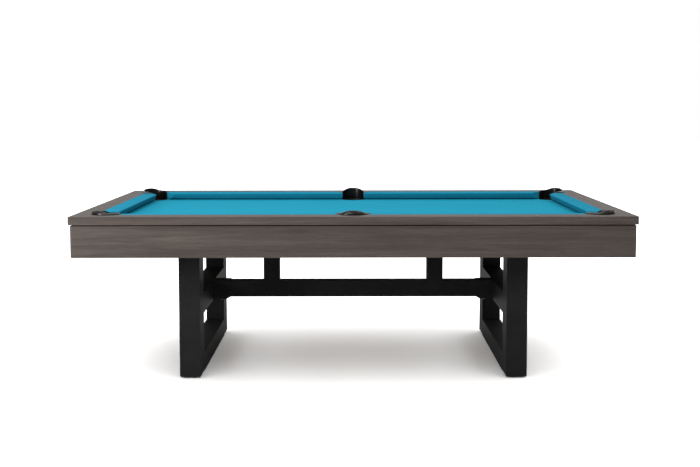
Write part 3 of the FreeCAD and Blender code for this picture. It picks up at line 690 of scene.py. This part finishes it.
def make_collar(pocket, hide):
    """A leather-covered collar whose crest falls away to thin wings on each side of the mouth."""
    shape = pocket.collar
    place = pocket_place(pocket)
    rows = COLLAR_STEPS + 1
    points = []
    for i in range(rows):
        degrees = shape.span * (2 * i / COLLAR_STEPS - 1)
        angle = math.radians(degrees)
        section = collar_section(abs(degrees), shape)
        for r, z in section:
            points.append(place @ Vector((r * math.cos(angle), r * math.sin(angle), z)))
    faces = grid_faces(rows, len(section), closed=True) + end_caps(rows, len(section))
    collar = mesh_piece(f"{pocket.name}_collar_leather", points, faces, hide)
    rounded = collar.modifiers.new("round", "SUBSURF")
    rounded.levels = 1
    rounded.render_levels = 1
    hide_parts(f"{pocket.name}_collar")


def make_stitches(pocket, material):
    """One row of waxed stitches along the groove behind a collar's rolled crest."""
    shape = pocket.collar
    place = pocket_place(pocket)
    radius = COLLAR_IN + 6.6 * MM
    pitch = math.degrees(STITCH_PITCH / radius)
    bare_tip = 12
    count = int((shape.span - bare_tip) * 2 / pitch)
    along_stitch = (-1.0, -0.55, 0.0, 0.55, 1.0)
    sides = 6
    points, faces = [], []
    for i in range(count + 1):
        middle = math.radians((i - count / 2) * pitch)
        base = len(points)
        for along in along_stitch:
            angle = middle + along * STITCH_HALF / radius
            swell = STITCH_THICK * (1.0 - 0.75 * along * along)
            height = collar_section(abs(math.degrees(angle)), shape)[GROOVE_POINT][1]
            for k in range(sides):
                way = 2 * math.pi * k / sides
                r = radius + swell * 1.2 * math.cos(way)
                z = height + STITCH_THICK * 0.9 + swell * math.sin(way)
                points.append(place @ Vector((r * math.cos(angle), r * math.sin(angle), z)))
        faces += grid_faces(len(along_stitch), sides, base, closed=True)
        faces += end_caps(len(along_stitch), sides, base)
    row = mesh_piece(f"{pocket.name}_collar_stitches", points, faces, material)


def bag_outline(depth):
    """Inner radius of a bag at heights above its lowest point."""
    return [
        (0.0, 44 * MM), (1.5 * MM, 50 * MM), (6 * MM, 54.5 * MM), (14 * MM, 56.6 * MM),
        (depth * 0.3, 57.4 * MM), (depth * 0.5, 58.0 * MM), (depth * 0.75, 58.8 * MM),
        (depth * 0.93, 59.6 * MM), (depth - 1.5 * MM, 60.2 * MM), (depth - 0.3 * MM, 60.4 * MM),
    ]


def make_bag(pocket, hide):
    """A leather bucket below the collar: slightly slumped, with a rolled rim and a flat base."""
    low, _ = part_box(f"{pocket.name}_bag")
    depth = BED_UNDER - BAG_BELOW_BED - low.z
    outline = bag_outline(depth)
    profile = [(z, r + BAG_WALL) for z, r in outline]
    profile += [(max(z, BAG_WALL), r) for z, r in reversed(outline)]
    points = []
    for z, r in profile:
        for j in range(BAG_SIDES):
            angle = 2 * math.pi * j / BAG_SIDES
            slump = 1 + 0.018 * math.sin(5 * angle + 7 * z / depth) * math.sin(math.pi * z / depth)
            x = pocket.x + r * slump * math.cos(angle)
            y = pocket.y + r * slump * math.sin(angle)
            points.append((x, y, low.z + z))
    faces = grid_faces(len(profile), BAG_SIDES, closed=True) + end_caps(len(profile), BAG_SIDES)
    bag = mesh_piece(f"{pocket.name}_bag_leather", points, faces, hide)
    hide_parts(f"{pocket.name}_bag")


# ---------------------------------------------------------------- stage

WHITE = (1.0, 1.0, 1.0, 1.0)
DOWN = (0.0, 0.0, -1.0)


def make_floor(material):
    """A wide white floor, a hair below the feet."""
    half = 30.0
    mesh = bpy.data.meshes.new("floor")
    corners = [(-half, -half, 0), (half, -half, 0), (half, half, 0), (-half, half, 0)]
    mesh.from_pydata(corners, [], [(0, 1, 2, 3)])
    mesh.materials.append(material)
    floor = bpy.data.objects.new("floor", mesh)
    bpy.context.scene.collection.objects.link(floor)
    floor.location.z = -0.5 * MM
    return floor


def add_lamp(name, kind, aim, power):
    """A lamp of one kind that shines along aim."""
    light = bpy.data.lights.new(name, kind)
    light.energy = power
    lamp = bpy.data.objects.new(name, light)
    bpy.context.scene.collection.objects.link(lamp)
    lamp.rotation_euler = Vector(aim).to_track_quat("-Z", "Y").to_euler()
    return lamp


def soft_box(name, location, target, size, power):
    """A rectangular lamp at a place, turned to a target."""
    lamp = add_lamp(name, "AREA", Vector(target) - Vector(location), power)
    lamp.location = location
    lamp.data.shape = "RECTANGLE"
    lamp.data.size, lamp.data.size_y = size
    return lamp


def soft_sun(name, spread, power):
    """Light from overhead, as wide as spread degrees of the sky."""
    lamp = add_lamp(name, "SUN", DOWN, power)
    lamp.data.angle = math.radians(spread)
    return lamp


def make_world(backdrop, fill):
    """A white surround: one strength behind the table, and another for the light it casts."""
    world = bpy.data.worlds.new("studio")
    bpy.context.scene.world = world
    world.use_nodes = True
    nodes, links = world.node_tree.nodes, world.node_tree.links
    seen = nodes["Background"]
    cast = nodes.new("ShaderNodeBackground")
    for node, strength in ((seen, backdrop), (cast, fill)):
        node.inputs["Color"].default_value = WHITE
        node.inputs["Strength"].default_value = strength
    path = nodes.new("ShaderNodeLightPath")
    either = nodes.new("ShaderNodeMixShader")
    links.new(path.outputs["Is Camera Ray"], either.inputs[0])
    links.new(cast.outputs[0], either.inputs[1])
    links.new(seen.outputs[0], either.inputs[2])
    links.new(either.outputs[0], nodes["World Output"].inputs["Surface"])


def make_lights(floor):
    """Very wide light from above, a front box and a key from the left, and two strip boxes overhead."""
    soft_sun("top", 150, 4.3)
    only_floor = bpy.data.collections.new("only_floor")
    only_floor.objects.link(floor)
    wash = soft_sun("floor_wash", 150, 2.6)
    wash.light_linking.receiver_collection = only_floor
    not_the_floor = bpy.data.collections.new("not_the_floor")
    not_the_floor.objects.link(floor)
    not_the_floor.collection_objects[0].light_linking.link_state = "EXCLUDE"
    boxes = [
        soft_box("front", (-1.9, -3.8, 2.9), (-0.3, -0.3, 0.6), (2.4, 1.2), 105.0),
        soft_box("key", (-2.9, -2.5, 1.3), (-1.0, -0.6, 0.65), (0.9, 0.8), 105.0),
        soft_box("left_strip", (-1.1, -0.9, 2.6), (-0.5, 0, 0.8), (0.35, 1.2), 14.0),
        soft_box("right_strip", (1.1, -0.9, 2.6), (0.5, 0, 0.8), (0.35, 1.2), 14.0),
    ]
    for lamp in boxes:
        lamp.light_linking.receiver_collection = not_the_floor


def make_camera():
    """An eye 1.3 m above the floor, square on to the table's front and tipped slightly down."""
    data = bpy.data.cameras.new("camera")
    data.sensor_width = 36.0
    data.lens = 53.18
    data.shift_x = -0.004
    data.shift_y = -0.0640
    camera = bpy.data.objects.new("camera", data)
    bpy.context.scene.collection.objects.link(camera)
    camera.location = (-0.0011, -5.3825, 1.3036)
    pitch, roll = 0.08076, 0.00127
    camera.rotation_euler = (math.pi / 2 - pitch, roll, 0.0)
    bpy.context.scene.camera = camera


# ---------------------------------------------------------------- the table


def nodes_with(*endings):
    """The CAD nodes whose names end in one of the given words."""
    return [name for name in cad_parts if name.endswith(endings)]


def dress_cad(rail_cloth):
    """Gives every CAD node its finish, and a fine bevel on the edges that catch light."""
    long_oak = oak("oak_along_x", "X", 0.0)
    end_oak = oak("oak_along_y", "Y", 3.0)
    zinc_nodes = ["base_bolts", "rail_bolts", "slate_screws", "foot_nuts"] + nodes_with("_foot_stem")
    steelwork = nodes_with("_post", "_bar", "_plate", "_socket", "stretcher_beam", "support_flanges")
    gum = moulded_rubber("gum_rubber", (0.05, 0.035, 0.022), (0.10, 0.07, 0.045))
    black_rubber = moulded_rubber("black_rubber", (0.012, 0.012, 0.012), (0.025, 0.025, 0.025))
    finishes = [
        (long_oak, 1.0 * MM, ["front_rail", "rear_rail", "front_apron", "rear_apron"]),
        (end_oak, 1.0 * MM, ["left_end_rail", "right_end_rail", "left_end_apron", "right_end_apron"]),
        (shadow_paint("shadow_gap"), 0, ["reveal_strips"]),
        (softwood("planed_softwood"), 0, ["chassis_beams", "slate_backers", "corner_blocks"]),
        (slate_stone("honed_slate"), 0, ["slate_left", "slate_center", "slate_right"]),
        (gum, 0, ["cushion_rubbers"]),
        (rail_cloth, 0, ["feather_strips"]),
        (pearl("dark_pearl"), 0, ["rail_sights"]),
        (zinc("zinc_plate"), 0, zinc_nodes),
        (black_rubber, 0.6 * MM, nodes_with("_foot_pad")),
        (powder_coat("black_powder_coat"), 2.0 * MM, steelwork),
    ]
    for material, bevel, names in finishes:
        for name in names:
            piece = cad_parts[name]
            piece.data.materials.clear()
            piece.data.materials.append(material)
            if bevel:
                add_bevel(piece, bevel)


def main():
    make_camera()
    make_world(backdrop=1.0, fill=0.25)
    make_lights(make_floor(studio_floor("studio_floor")))
    bed_cloth = billiard_cloth("bed_cloth_blue", (0.004, 0.152, 0.225))
    rail_cloth = billiard_cloth("rail_cloth_blue", (0.005, 0.122, 0.188))
    collar_hide = leather("collar_hide", 0.17, 0.0014)
    bag_hide = leather("bag_hide", 0.45, 0.0025)
    stitching = thread("waxed_thread")
    dress_cad(rail_cloth)
    make_bed_cloth(bed_cloth)
    make_cushions(rail_cloth)
    for pocket in POCKETS:
        make_collar(pocket, collar_hide)
        make_stitches(pocket, stitching)
        make_bag(pocket, bag_hide)
    bpy.context.scene.view_settings.view_transform = "Standard"
    bpy.context.view_layer.update()


main()
